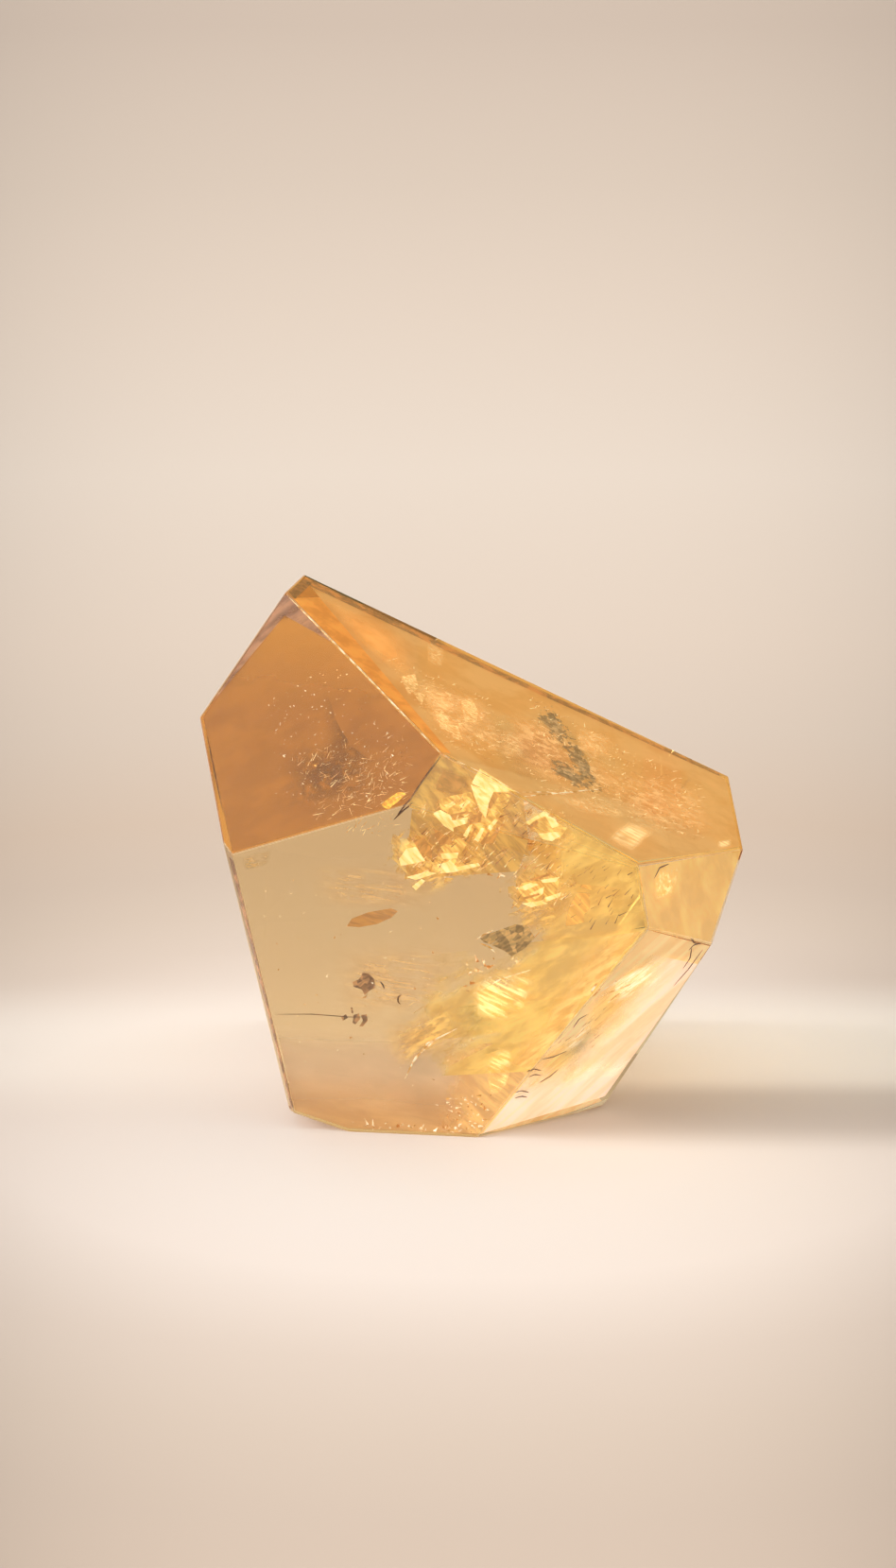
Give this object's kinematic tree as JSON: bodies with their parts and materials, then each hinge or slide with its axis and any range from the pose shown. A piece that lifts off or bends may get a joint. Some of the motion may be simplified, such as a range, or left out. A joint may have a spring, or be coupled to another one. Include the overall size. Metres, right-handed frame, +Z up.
{
  "type": "smoky quartz freeform",
  "caption": "Polished quartz freeform: a faceted see-through block with a slanting ridge, standing on a flat sawn base.",
  "frame": {"origin": "centre of the base of the stone's bounding box", "axes": "+Z up from the base, -Y towards the front window, +X to the stone's right side as seen from the front"},
  "size_m": [0.0778, 0.072, 0.0746],
  "materials": {
    "quartz": "polished, see-through, honey to golden brown"
  },
  "bodies": {
    "root": {"crystal": "quartz"}
  },
  "joints": []
}
